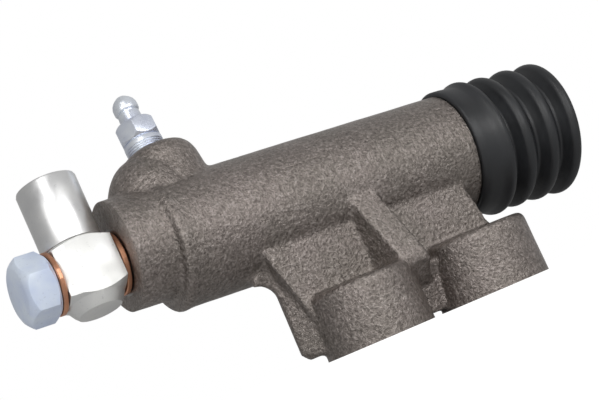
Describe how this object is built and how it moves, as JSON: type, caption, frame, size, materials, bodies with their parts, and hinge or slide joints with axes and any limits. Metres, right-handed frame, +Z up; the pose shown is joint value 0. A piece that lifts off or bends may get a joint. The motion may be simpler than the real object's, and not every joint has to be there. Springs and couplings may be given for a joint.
{
  "type": "clutch slave cylinder",
  "caption": "Cast clutch slave cylinder on a side flange with two mounting pads, a banjo inlet, a bleeder screw and a ribbed rubber boot around its push-rod end.",
  "frame": {"origin": "centre of the envelope's underside, on the mounting face of the two pads", "axes": "+X towards the boot and push-rod end, +Y away from the mounting flange, +Z up from the mounting face"},
  "size_m": [0.1771, 0.0514, 0.0925],
  "materials": {
    "cast_iron": "as cast, sandy, with machined pads",
    "nickel_plate": "bright plated",
    "bright_steel": "bright",
    "blue_zinc": "blue passivated zinc",
    "zinc_plate": "zinc plated",
    "copper": "annealed copper",
    "black_rubber": "moulded, satin",
    "anodised_aluminium": "anodised"
  },
  "bodies": {
    "housing": {"cylinder_body": "cast_iron", "inner_copper_washer": "copper", "outer_copper_washer": "copper", "banjo_block": "nickel_plate", "port_sleeve": "bright_steel", "banjo_bolt": "blue_zinc", "return_spring": "bright_steel", "stop_ring": "bright_steel", "dust_boot": "black_rubber"},
    "piston_group": {"piston": "anodised_aluminium", "rear_seal": "black_rubber", "primary_cup": "black_rubber", "spring_seat": "nickel_plate"},
    "bleeder": {"bleeder_screw": "zinc_plate"}
  },
  "joints": [
    {"name": "piston_slide", "type": "slide", "parent": "housing", "child": "piston_group", "axis": [0.9988, 0, -0.0489], "range_m": [-0.036, 0], "stiffness_N_per_m": 800, "springref_m": 0.03, "deforming": ["return_spring"]},
    {"name": "bleeder_turn", "type": "hinge", "parent": "housing", "child": "bleeder", "pos_m": [-0.03438, 0.01313, 0.07358], "axis": [0.047, 0.2756, 0.9601], "range_deg": [0, 360]}
  ]
}
